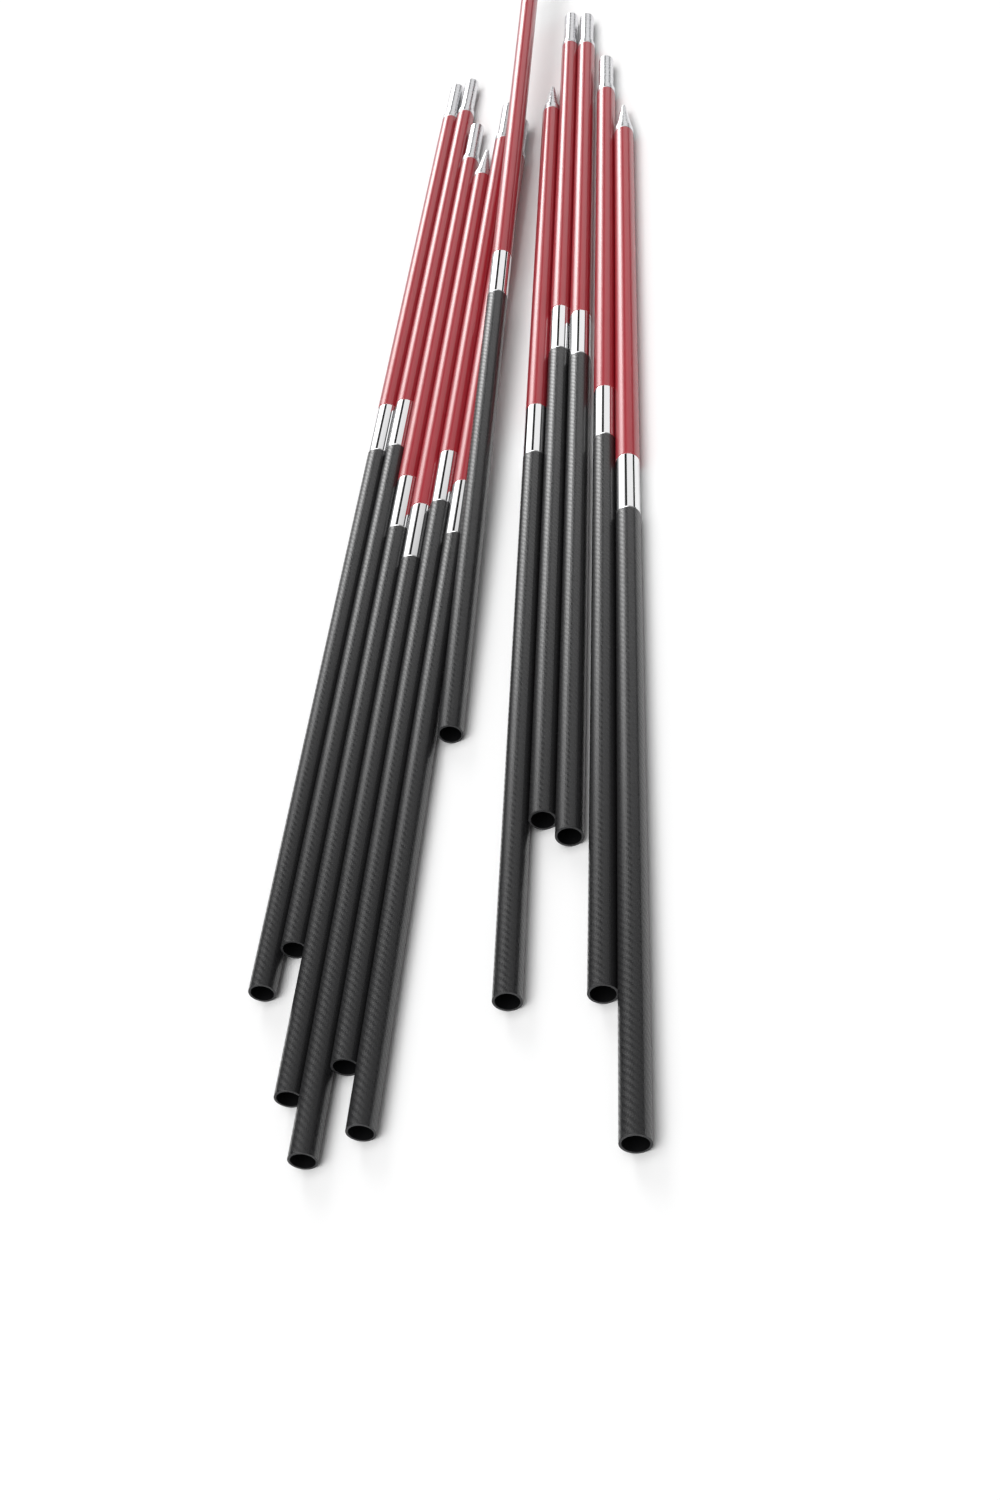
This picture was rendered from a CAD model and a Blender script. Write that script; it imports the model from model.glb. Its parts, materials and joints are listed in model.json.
import json
import math

import bpy
from mathutils import Matrix, Vector


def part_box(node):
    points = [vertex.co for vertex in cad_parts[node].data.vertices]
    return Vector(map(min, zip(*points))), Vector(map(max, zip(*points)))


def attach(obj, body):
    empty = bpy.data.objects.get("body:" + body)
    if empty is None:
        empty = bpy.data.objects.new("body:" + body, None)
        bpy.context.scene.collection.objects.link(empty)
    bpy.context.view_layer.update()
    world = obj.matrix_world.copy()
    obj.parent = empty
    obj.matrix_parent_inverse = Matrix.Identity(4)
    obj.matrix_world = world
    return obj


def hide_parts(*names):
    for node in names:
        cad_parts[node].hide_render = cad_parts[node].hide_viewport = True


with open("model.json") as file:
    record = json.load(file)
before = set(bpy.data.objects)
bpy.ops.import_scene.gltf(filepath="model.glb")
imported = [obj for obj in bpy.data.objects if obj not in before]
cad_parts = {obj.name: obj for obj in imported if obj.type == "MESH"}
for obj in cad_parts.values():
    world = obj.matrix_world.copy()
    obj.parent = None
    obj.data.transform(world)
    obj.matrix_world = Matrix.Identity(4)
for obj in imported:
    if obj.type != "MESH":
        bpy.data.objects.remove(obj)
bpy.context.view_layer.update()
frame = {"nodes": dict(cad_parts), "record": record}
MM = 0.001

# ---------------------------------------------------------------- sizes, from the frame

STRAIGHT = 8                      # this section lies exactly along +Y, so its boxes give stations
USUAL = 9                         # so does this one, with a plug and a carbon tube of usual length

mounts = {mount["name"]: mount for mount in frame["record"]["mounts"]}
section_numbers = sorted(int(name[-2:]) for name in mounts if name.startswith("socket_"))


def named(kind, number):
    return f"{kind}_{number:02d}"


def span(kind):
    """First and last station of a piece of the straight section, from that section's mouth."""
    low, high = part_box(named(kind, STRAIGHT))
    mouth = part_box(named("carbon_tube", STRAIGHT))[0].y
    return low.y - mouth, high.y - mouth


tube_low, tube_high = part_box(named("carbon_tube", STRAIGHT))
TUBE_R = (tube_high.x - tube_low.x) / 2
SOCKET_R = mounts["socket_01"]["dims"]["r_mm"] * MM
SOCKET_LEN = mounts["socket_01"]["dims"]["length_mm"] * MM
SPIGOT_R = mounts["plug_01"]["dims"]["r_mm"] * MM
CARBON_END = span("carbon_tube")[1]
RED_START, RED_END = span("red_tube")
SLEEVE_NOSE, SLEEVE_ROOT = span("joint_sleeve")
RING_START, RING_END = span("grip_ring")
TIP_ROOT, TIP_END = span("probe_tip")
ROOT_LEN = SLEEVE_ROOT - RED_START
plug_low, plug_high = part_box(named("end_spigot", USUAL))
SPIGOT_END = RED_END - ROOT_LEN + (plug_high.y - plug_low.y)

BORE_R = SOCKET_R - 0.3 * MM      # the carbon tube's own hollow, between its sockets
ROOT_R = SOCKET_R - 0.02 * MM     # roots sit in a glue line
CORE_R = 3.4 * MM                 # hole through the sleeves and plugs
COLLAR_GAP = 0.2 * MM             # between the carbon tube and the collar it is pushed up to
GROOVE_DEPTH = 0.9 * MM
GROOVE_LEN = 1.26 * MM
HEAD_LEN = 6 * MM                 # the part of a plug or tip that is level with the tube
POINT_R = 1.5 * MM
RIM = 0.3 * MM                    # chamfer on the rims of the collars, heads and red tubes
NOSE = 1.2 * MM                   # lead-in on spigots and roots
RUB_START, RUB_END = 0.2 * MM, 0.7 * MM     # the red is rubbed this near the tube's ends

# how far a corner is rounded
STEP_EDGE = 0.02 * MM             # steps in the carbon tube's bore
SHARP_EDGE = 0.05 * MM            # inner corners, and the facets of the point
FACE_EDGE = 0.1 * MM              # end faces
CARBON_EDGE = 0.12 * MM           # the sawn ends
RIM_EDGE = 0.15 * MM              # where a rim's chamfer meets the tube
LEAD_EDGE = 0.2 * MM              # lead-ins
PLUG_EDGE = 0.3 * MM              # the far plug's nose

SIDES = 96                        # facets round a turned piece
ARC_STEPS = 4                     # facets on a rounded corner
ARC_SHARE = 0.3                   # the most of a side that a rounded corner may take
SUPPORT = 0.15 * MM               # how close a holding ring stands to a rounded corner
SUPPORT_SHARE = 0.15              # and the most of a side that it may take
WEAVE_TURN = 67                   # degrees from one section to the next, so no two look alike


def coupling_span(number):
    """Distance from a section's socket to its plug."""
    socket, plug = (Vector(mounts[named(kind, number)]["pos_m"]) for kind in ("socket", "plug"))
    return (plug - socket).length


def mouth_at(number):
    """Station of the open mouth: 0, or less where the carbon tube is longer than usual."""
    if named("plug", number) not in mounts:
        return 0.0
    return coupling_span(USUAL) - coupling_span(number)


def section_frame(number):
    """From stations along Z to where the section lies, with a turn of its own."""
    socket = mounts[named("socket", number)]
    along = -Vector(socket["axis"]).normalized()
    start = Vector(socket["pos_m"]) - along * (mouth_at(number) + SOCKET_LEN / 2)
    turn = Matrix.Rotation(math.radians(WEAVE_TURN * number), 4, "Z")
    return Matrix.Translation(start) @ along.to_track_quat("Z", "Y").to_matrix().to_4x4() @ turn


# ---------------------------------------------------------------- shader helpers


class Graph:
    """Short names for building one node tree."""

    def __init__(self, tree):
        self.tree = tree
        tree.nodes.clear()

    def node(self, kind, sockets=None, **settings):
        made = self.tree.nodes.new(kind)
        for key, value in settings.items():
            setattr(made, key, value)
        for key, value in (sockets or {}).items():
            self.feed(made.inputs[key], value)
        return made

    def feed(self, socket, value):
        if isinstance(value, bpy.types.NodeSocket):
            self.tree.links.new(value, socket)
        else:
            socket.default_value = value

    def math(self, operation, *values):
        made = self.node("ShaderNodeMath", operation=operation)
        for socket, value in zip(made.inputs, values):
            self.feed(socket, value)
        return made.outputs[0]

    def total(self, start, *terms):
        """start plus weight * value for each (weight, value)."""
        for weight, value in terms:
            start = self.math("ADD", start, self.math("MULTIPLY", value, weight))
        return start

    def product(self, value, *factors):
        for factor in factors:
            value = self.math("MULTIPLY", value, factor)
        return value

    def ramp(self, value, low, high, out_low=0.0, out_high=1.0):
        """A smooth step of value from low to high."""
        made = self.node("ShaderNodeMapRange", interpolation_type="SMOOTHSTEP")
        for key, number in (("Value", value), ("From Min", low), ("From Max", high),
                            ("To Min", out_low), ("To Max", out_high)):
            self.feed(made.inputs[key], number)
        return made.outputs["Result"]

    def inside(self, value, low, high, soft):
        """1 between low and high, and 0 outside, with soft edges."""
        rise = self.ramp(value, low - soft, low + soft)
        fall = self.ramp(value, high - soft, high + soft, 1.0, 0.0)
        return self.product(rise, fall)

    def noise(self, vector, scale, detail=3.0, roughness=0.5):
        made = self.node("ShaderNodeTexNoise",
                         {"Vector": vector, "Scale": scale, "Detail": detail,
                          "Roughness": roughness})
        return made.outputs["Fac"]

    def streaks(self, vector, round_scale, along_scale, detail=3.0):
        """Noise drawn out round a section or along it."""
        made = self.node("ShaderNodeMapping",
                         {"Vector": vector, "Scale": (round_scale, round_scale, along_scale)})
        return self.noise(made.outputs["Vector"], 1.0, detail)

    def mix(self, factor, first, second):
        made = self.node("ShaderNodeMix", data_type="RGBA")
        self.feed(made.inputs[0], factor)
        self.feed(made.inputs[6], first)
        self.feed(made.inputs[7], second)
        return made.outputs[2]

    def shaded(self, colour, amount):
        made = self.node("ShaderNodeVectorMath", operation="SCALE")
        self.feed(made.inputs[0], colour)
        self.feed(made.inputs["Scale"], amount)
        return made.outputs[0]

    def bump(self, height, strength, distance, below=None):
        made = self.node("ShaderNodeBump",
                         {"Height": height, "Strength": strength, "Distance": distance})
        if below is not None:
            self.feed(made.inputs["Normal"], below)
        return made.outputs["Normal"]


class Surface(Graph):
    """The node tree of a new material with a Principled shader."""

    def __init__(self, name, metallic=0.0, coat=0.0, coat_roughness=0.1, specular=0.5):
        self.material = bpy.data.materials.new(name)
        self.material.use_nodes = True
        super().__init__(self.material.node_tree)
        self.shader = self.node("ShaderNodeBsdfPrincipled",
                                {"Metallic": metallic, "Coat Weight": coat,
                                 "Coat Roughness": coat_roughness,
                                 "Specular IOR Level": specular})
        self.node("ShaderNodeOutputMaterial", {"Surface": self.shader.outputs["BSDF"]})

    def wrap(self):
        """(turns round the section, metres along it) from the piece's own map."""
        uv = self.node("ShaderNodeUVMap", uv_map="wrap").outputs["UV"]
        parts = self.node("ShaderNodeSeparateXYZ", {"Vector": uv})
        return parts.outputs["X"], parts.outputs["Y"]

    def around(self, turns, along):
        """A point on the tube's cylinder, in metres, so that noise has no seam."""
        angle = self.product(turns, 2 * math.pi)
        x = self.product(self.math("COSINE", angle), TUBE_R)
        y = self.product(self.math("SINE", angle), TUBE_R)
        return self.node("ShaderNodeCombineXYZ", {"X": x, "Y": y, "Z": along}).outputs["Vector"]

    def object_point(self):
        return self.node("ShaderNodeTexCoord").outputs["Object"]

    def dress(self, colour, roughness, normal=None):
        """Feeds the shader and gives the finished material."""
        self.feed(self.shader.inputs["Base Color"], colour)
        self.feed(self.shader.inputs["Roughness"], roughness)
        if normal is not None:
            self.feed(self.shader.inputs["Normal"], normal)
        return self.material


# ---------------------------------------------------------------- materials

TOWS_ROUND = 44                   # a multiple of 4, so that the twill closes round the tube
TOW = 2 * math.pi * TUBE_R / TOWS_ROUND
TWILL_REPEAT = 4                  # tows: two over, two under
LATHE_PITCH = 0.18 * MM


def crown(graph, tows):
    """0 at the edges of each tow and 1 along its middle."""
    return graph.math("SINE", graph.product(graph.math("FRACT", tows), math.pi))


def carbon_weave():
    """Two-over-two twill under a thin lacquer, with the tows along the tube the glossier ones."""
    graph = Surface("carbon_weave", coat=0.35, coat_roughness=0.14, specular=0.6)
    turns, along = graph.wrap()
    columns = graph.product(turns, TOWS_ROUND)
    rows = graph.math("DIVIDE", along, TOW)
    diagonal = graph.math("ADD", graph.math("FLOOR", columns), graph.math("FLOOR", rows))
    step = graph.math("FLOORED_MODULO", diagonal, TWILL_REPEAT)
    axial = graph.math("LESS_THAN", step, 1.5)
    hoop = graph.math("SUBTRACT", 1.0, axial)
    height = graph.math("ADD", graph.product(axial, crown(graph, columns)),
                        graph.product(hoop, crown(graph, rows)))
    place = graph.around(turns, along)
    mottle = graph.noise(place, 220.0)
    fibres = graph.streaks(place, 9000.0, 600.0, detail=2.0)
    tows = graph.mix(axial, (0.0108, 0.0108, 0.0116, 1), (0.0160, 0.0160, 0.0170, 1))
    shade = graph.product(graph.total(0.8, (0.4, mottle)), graph.total(0.8, (0.3, height)))
    weave = graph.bump(height, 0.45, 0.05 * MM)
    return graph.dress(colour=graph.shaded(tows, shade),
                       roughness=graph.total(0.25, (0.06, fibres), (0.17, hoop)),
                       normal=graph.bump(fibres, 0.08, 0.01 * MM, weave))


def carbon_cut():
    """The sawn end: matt and unevenly grey, with cut fibres."""
    graph = Surface("carbon_cut", specular=0.4)
    grain = graph.noise(graph.object_point(), 2600.0, 4.0, 0.7)
    streak = graph.noise(graph.around(*graph.wrap()), 900.0, 2.0)
    return graph.dress(colour=graph.mix(graph.product(grain, streak), (0.012, 0.012, 0.013, 1),
                                        (0.09, 0.09, 0.095, 1)),
                       roughness=graph.total(0.5, (0.2, grain)),
                       normal=graph.bump(grain, 0.3, 0.03 * MM))


def carbon_bore():
    """The inside of the tube: bare dark resin with faint turning marks."""
    graph = Surface("carbon_bore", specular=0.15)
    marks = graph.streaks(graph.around(*graph.wrap()), 60.0, 5000.0, detail=2.0)
    return graph.dress(colour=graph.mix(marks, (0.003, 0.003, 0.003, 1), (0.007, 0.007, 0.008, 1)),
                       roughness=graph.total(0.55, (0.2, marks)),
                       normal=graph.bump(marks, 0.2, 0.02 * MM))


def red_anodised():
    """Red anodising under clear lacquer, with faint draw lines and rubbed rims."""
    graph = Surface("red_anodised", coat=0.5, coat_roughness=0.12, specular=0.35)
    turns, along = graph.wrap()
    place = graph.around(turns, along)
    lines = graph.streaks(place, 2600.0, 14.0)
    cloud = graph.noise(place, 35.0)
    body = graph.mix(graph.total(0.0, (0.35, lines), (0.65, cloud)),
                     (0.345, 0.013, 0.024, 1), (0.435, 0.020, 0.034, 1))
    near_rim = graph.ramp(along, RED_START + RUB_START, RED_START + RUB_END, 1.0, 0.0)
    far_rim = graph.ramp(along, RED_END - RUB_END, RED_END - RUB_START)
    chips = graph.ramp(graph.noise(place, 1500.0, 4.0), 0.50, 0.64)
    rubbed = graph.product(graph.math("MAXIMUM", near_rim, far_rim), chips)
    return graph.dress(colour=graph.mix(rubbed, body, (0.62, 0.40, 0.40, 1)),
                       roughness=graph.total(0.26, (0.12, lines)),
                       normal=graph.bump(lines, 0.05, 0.01 * MM))


def polished_alloy():
    """Mirror-polished aluminium with faint lengthwise polishing lines and light smudges."""
    graph = Surface("polished_alloy", metallic=1.0)
    place = graph.around(*graph.wrap())
    lines = graph.streaks(place, 3200.0, 25.0)
    smudge = graph.ramp(graph.noise(place, 160.0), 0.45, 0.75)
    return graph.dress(colour=graph.mix(lines, (0.83, 0.83, 0.84, 1), (0.91, 0.91, 0.915, 1)),
                       roughness=graph.total(0.04, (0.03, lines), (0.04, smudge)),
                       normal=graph.bump(lines, 0.02, 0.01 * MM))


def turned_alloy():
    """Plain aluminium with the fine rings that a lathe leaves."""
    graph = Surface("turned_alloy", metallic=1.0)
    turns, along = graph.wrap()
    rings = graph.math("SINE", graph.product(along, 2 * math.pi / LATHE_PITCH))
    drift = graph.streaks(graph.around(turns, along), 80.0, 3000.0)
    return graph.dress(colour=graph.mix(drift, (0.66, 0.66, 0.68, 1), (0.82, 0.82, 0.84, 1)),
                       roughness=graph.total(0.20, (0.15, drift)),
                       normal=graph.bump(graph.total(drift, (0.3, rings)), 0.18, 0.01 * MM))


def black_rubber():
    """Matt moulded rubber."""
    graph = Surface("black_rubber", specular=0.35)
    grain = graph.noise(graph.object_point(), 4000.0, 4.0, 0.6)
    return graph.dress(colour=graph.mix(grain, (0.010, 0.010, 0.010, 1), (0.028, 0.028, 0.028, 1)),
                       roughness=graph.total(0.6, (0.2, grain)),
                       normal=graph.bump(grain, 0.25, 0.02 * MM))


def floor_white():
    """Plain white board."""
    graph = Surface("floor_white", specular=0.1)
    cloud = graph.noise(graph.object_point(), 6.0, 2.0)
    return graph.dress(colour=graph.mix(cloud, (0.91, 0.91, 0.91, 1), (0.94, 0.94, 0.94, 1)),
                       roughness=0.8)


CARBON = [carbon_weave(), carbon_cut(), carbon_bore()]
RED = [red_anodised(), turned_alloy()]
POLISHED = [polished_alloy(), RED[1]]
TURNED = [RED[1]]
RUBBER = black_rubber()

# ---------------------------------------------------------------- turned pieces


def rounded(outline):
    """The outline's corners as small arcs with a holding ring on either side.

    outline is a loop of (radius, station, rounding, material of the next stretch), and the result
    is a loop of (point, material of the next stretch).
    """
    points = []
    count = len(outline)
    for index, (radius, station, rounding, skin) in enumerate(outline):
        here = Vector((radius, station))
        before = outline[index - 1]
        after = outline[(index + 1) % count]
        back = Vector(before[:2]) - here
        ahead = Vector(after[:2]) - here
        reach = min(rounding, ARC_SHARE * back.length, ARC_SHARE * ahead.length)
        support = min(SUPPORT, SUPPORT_SHARE * back.length, SUPPORT_SHARE * ahead.length)
        start = here + back.normalized() * reach
        end = here + ahead.normalized() * reach
        points.append((start + back.normalized() * support, before[3]))
        for step in range(ARC_STEPS + 1):
            t = step / ARC_STEPS
            bend = start.lerp(here, t).lerp(here.lerp(end, t), t)
            points.append((bend, before[3] if t < 0.5 else skin))
        points.append((end + ahead.normalized() * support, skin))
    return points


def turned(name, number, outline, skins):
    """Spins an outline about a section's axis, with the map that the materials read."""
    points = rounded(outline)
    place = section_frame(number)
    verts = []
    for point, _ in points:
        for side in range(SIDES):
            angle = 2 * math.pi * side / SIDES
            spot = (point.x * math.cos(angle), point.x * math.sin(angle), point.y)
            verts.append(place @ Vector(spot))
    faces, maps, indices = [], [], []
    rings = len(points)
    for ring in range(rings):
        following = (ring + 1) % rings
        for side in range(SIDES):
            next_side = (side + 1) % SIDES
            corners = [(ring, side, side), (ring, next_side, side + 1),
                       (following, next_side, side + 1), (following, side, side)]
            faces.append([r * SIDES + s for r, s, _ in corners])
            maps.extend((turn / SIDES, points[r][0].y) for r, _, turn in corners)
            indices.append(points[ring][1])
    mesh = bpy.data.meshes.new(name)
    mesh.from_pydata(verts, [], faces)
    layer = mesh.uv_layers.new(name="wrap")
    for loop, spot in zip(layer.data, maps):
        loop.uv = spot
    for skin in skins:
        mesh.materials.append(skin)
    for face, index in zip(mesh.polygons, indices):
        face.material_index = index
        face.use_smooth = True
    mesh.validate()
    piece = bpy.data.objects.new(name, mesh)
    bpy.context.scene.collection.objects.link(piece)
    return piece


def carbon_shell(number):
    weave, cut, bore = 0, 1, 2
    mouth, end = mouth_at(number), CARBON_END
    outline = [
        (SOCKET_R, mouth, SHARP_EDGE, cut),
        (TUBE_R, mouth, CARBON_EDGE, weave),
        (TUBE_R, end, CARBON_EDGE, cut),
        (SOCKET_R, end, SHARP_EDGE, bore),
        (SOCKET_R, end - SOCKET_LEN, STEP_EDGE, bore),
        (BORE_R, end - SOCKET_LEN, STEP_EDGE, bore),
        (BORE_R, mouth + SOCKET_LEN, STEP_EDGE, bore),
        (SOCKET_R, mouth + SOCKET_LEN, STEP_EDGE, bore)]
    piece = turned(named("carbon_shell", number), number, outline, CARBON)
    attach(piece, named("carbon", number))
    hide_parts(named("carbon_tube", number))


def red_shell(number):
    red, bare = 0, 1
    outline = [
        (SOCKET_R, RED_START, SHARP_EDGE, bare),
        (TUBE_R - RIM, RED_START, FACE_EDGE, red),
        (TUBE_R, RED_START + RIM, RIM_EDGE, red),
        (TUBE_R, RED_END - RIM, RIM_EDGE, red),
        (TUBE_R - RIM, RED_END, FACE_EDGE, bare),
        (SOCKET_R, RED_END, SHARP_EDGE, bare)]
    piece = turned(named("red_shell", number), number, outline, RED)
    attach(piece, named("section", number))
    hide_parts(named("red_tube", number))


def sleeve(number):
    polish, plain = 0, 1
    collar_start, collar_end = CARBON_END + COLLAR_GAP, RED_START
    groove_r = SPIGOT_R - GROOVE_DEPTH
    groove_start = (RING_START + RING_END - GROOVE_LEN) / 2
    groove_end = groove_start + GROOVE_LEN
    outline = [
        (CORE_R, SLEEVE_NOSE, FACE_EDGE, plain),
        (SPIGOT_R - NOSE, SLEEVE_NOSE, LEAD_EDGE, plain),
        (SPIGOT_R, SLEEVE_NOSE + NOSE, LEAD_EDGE, plain),
        (SPIGOT_R, groove_start, SHARP_EDGE, plain),
        (groove_r, groove_start, SHARP_EDGE, plain),
        (groove_r, groove_end, SHARP_EDGE, plain),
        (SPIGOT_R, groove_end, SHARP_EDGE, plain),
        (SPIGOT_R, collar_start, SHARP_EDGE, polish),
        (TUBE_R - RIM, collar_start, FACE_EDGE, polish),
        (TUBE_R, collar_start + RIM, RIM_EDGE, polish),
        (TUBE_R, collar_end - RIM, RIM_EDGE, polish),
        (TUBE_R - RIM, collar_end, FACE_EDGE, plain),
        (ROOT_R, collar_end, SHARP_EDGE, plain),
        (ROOT_R, SLEEVE_ROOT - NOSE, LEAD_EDGE, plain),
        (ROOT_R - NOSE, SLEEVE_ROOT, LEAD_EDGE, plain),
        (CORE_R, SLEEVE_ROOT, FACE_EDGE, plain)]
    piece = turned(named("collar_sleeve", number), number, outline, POLISHED)
    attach(piece, named("section", number))
    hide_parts(named("joint_sleeve", number))


def head_outline(root):
    """A far fitting's bonded root and the head that is level with the tube."""
    head_end = RED_END + HEAD_LEN
    return [
        (ROOT_R - NOSE, root, LEAD_EDGE, 0),
        (ROOT_R, root + NOSE, LEAD_EDGE, 0),
        (ROOT_R, RED_END, SHARP_EDGE, 0),
        (TUBE_R - RIM, RED_END, FACE_EDGE, 0),
        (TUBE_R, RED_END + RIM, RIM_EDGE, 0),
        (TUBE_R, head_end - RIM, RIM_EDGE, 0),
        (TUBE_R - RIM, head_end, FACE_EDGE, 0)]


def plug(number):
    root, head_end = RED_END - ROOT_LEN, RED_END + HEAD_LEN
    outline = [(CORE_R, root, FACE_EDGE, 0)] + head_outline(root) + [
        (SPIGOT_R, head_end, SHARP_EDGE, 0),
        (SPIGOT_R, SPIGOT_END - NOSE, PLUG_EDGE, 0),
        (SPIGOT_R - NOSE, SPIGOT_END, PLUG_EDGE, 0),
        (CORE_R, SPIGOT_END, FACE_EDGE, 0)]
    piece = turned(named("far_plug", number), number, outline, TURNED)
    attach(piece, named("section", number))
    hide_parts(named("end_spigot", number))


def point(number):
    head_end = RED_END + HEAD_LEN
    cone_angle = math.atan2(TUBE_R - RIM - POINT_R, TIP_END - head_end - POINT_R)
    centre = TIP_END - POINT_R
    nearly_up = math.pi / 2 - 0.05
    steps = 6
    root_pinhole, end_pinhole = 0.05 * MM, 0.02 * MM      # the outline stays just off the axis
    outline = [(root_pinhole, TIP_ROOT, 0, 0)] + head_outline(TIP_ROOT)
    for step in range(steps + 1):
        angle = cone_angle + (nearly_up - cone_angle) * step / steps
        radius, station = POINT_R * math.cos(angle), centre + POINT_R * math.sin(angle)
        outline.append((radius, station, SHARP_EDGE, 0))
    outline.append((end_pinhole, TIP_END, 0, 0))
    piece = turned(named("point", number), number, outline, TURNED)
    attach(piece, named("section", number))
    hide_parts(named("probe_tip", number))


for number in section_numbers:
    carbon_shell(number)
    red_shell(number)
    sleeve(number)
    if named("probe_tip", number) in frame["nodes"]:
        point(number)
    else:
        plug(number)
    ring = frame["nodes"][named("grip_ring", number)]
    ring.data.materials.clear()
    ring.data.materials.append(RUBBER)

# ---------------------------------------------------------------- floor, light and camera

FLOOR_HALF = 6.0


def floor():
    half = FLOOR_HALF
    corners = [(-half, -half, 0), (half, -half, 0), (half, half, 0), (-half, half, 0)]
    mesh = bpy.data.meshes.new("floor")
    mesh.from_pydata(corners, [], [(0, 1, 2, 3)])
    mesh.materials.append(floor_white())
    plane = bpy.data.objects.new("floor", mesh)
    bpy.context.scene.collection.objects.link(plane)


def studio():
    """A tent of light round the set. The camera itself sees plain white behind the floor.

    swing is a direction's angle about the Y axis in degrees: 0 is right, 90 overhead and 180
    left. ahead is its Y part: from the photo's viewpoint the tubes mirror directions of about
    0.6 at the near mouths, 0.8 at the collars and 0.9 at the far reds.
    """
    world = bpy.data.worlds.new("studio")
    world.use_nodes = True
    bpy.context.scene.world = world
    graph = Graph(world.node_tree)
    direction = graph.node("ShaderNodeTexCoord").outputs["Generated"]
    parts = graph.node("ShaderNodeSeparateXYZ", {"Vector": direction})
    ahead = parts.outputs["Y"]
    angle = graph.math("ARCTAN2", parts.outputs["Z"], parts.outputs["X"])
    swing = graph.math("DEGREES", angle)

    # Ahead: a bright panel on the left and a pale one on the right. The unlit gap overhead and
    # the unlit strip over the right horizon are the dark lines in the collars. lip dims the
    # panel's upper edge, and fade its lower end.
    key = graph.product(graph.ramp(ahead, 0.62, 0.92, 0.05, 8.3),
                        graph.ramp(ahead, 0.93, 1.00, 1.0, 0.3))
    left = graph.ramp(swing, 95, 97)
    lip = graph.ramp(swing, 105, 118, 0.17, 1.0)
    fade = graph.ramp(swing, 120, 172, 1.0, 0.03)
    panel = graph.product(left, key, lip, fade)
    right = graph.inside(swing, 18, 75, 1)
    pale = graph.product(right, graph.ramp(ahead, 0.62, 0.82, 0.2, 0.95))

    # Overhead and behind the camera: a soft top light with a weaker one on its left, which light
    # the floor and the near ends.
    top = graph.inside(swing, 70, 120, 12)
    side = graph.inside(swing, 100, 130, 18)
    near = graph.product(graph.total(0.16, (1.85, top), (0.95, side)),
                         graph.ramp(ahead, 0.30, 0.54, 1.0, 0.0))

    # Mirrored a second time, between two tubes, all of it is dimmer, so that the gaps stay dark.
    paths = graph.node("ShaderNodeLightPath")
    again = graph.math("GREATER_THAN", paths.outputs["Glossy Depth"], 1.5)
    light = graph.product(graph.total(0.02, (1, panel), (1, pale), (1, near)),
                          graph.total(1.0, (-0.75, again)))

    lit = graph.node("ShaderNodeBackground", {"Color": (1, 1, 1, 1), "Strength": light})
    plain = graph.node("ShaderNodeBackground", {"Color": (1, 1, 1, 1), "Strength": 1.0})
    both = graph.node("ShaderNodeMixShader")
    graph.feed(both.inputs[0], paths.outputs["Is Camera Ray"])
    graph.feed(both.inputs[1], lit.outputs[0])
    graph.feed(both.inputs[2], plain.outputs[0])
    graph.node("ShaderNodeOutputWorld", {"Surface": both.outputs[0]})


def camera():
    """The photo's viewpoint, solved from where its mouths and collars lie."""
    azimuth, elevation, roll = map(math.radians, (26.24, 37.79, 35.33))
    location = (0.3011, -0.8636, 0.4946)
    ahead = Vector((-math.sin(azimuth) * math.cos(elevation),
                    math.cos(azimuth) * math.cos(elevation), -math.sin(elevation)))
    level = ahead.cross(Vector((0, 0, 1))).normalized()
    upright = level.cross(ahead)
    up = math.cos(roll) * upright + math.sin(roll) * level
    right = ahead.cross(up)
    facing = Matrix((right, up, -ahead)).transposed().to_4x4()
    data = bpy.data.cameras.new("camera")
    data.sensor_width = 36.0
    data.lens = 43.6
    data.clip_start = 0.01
    made = bpy.data.objects.new("camera", data)
    made.matrix_world = Matrix.Translation(location) @ facing
    bpy.context.scene.collection.objects.link(made)
    bpy.context.scene.camera = made


floor()
studio()
camera()
bpy.context.scene.view_settings.view_transform = "Standard"
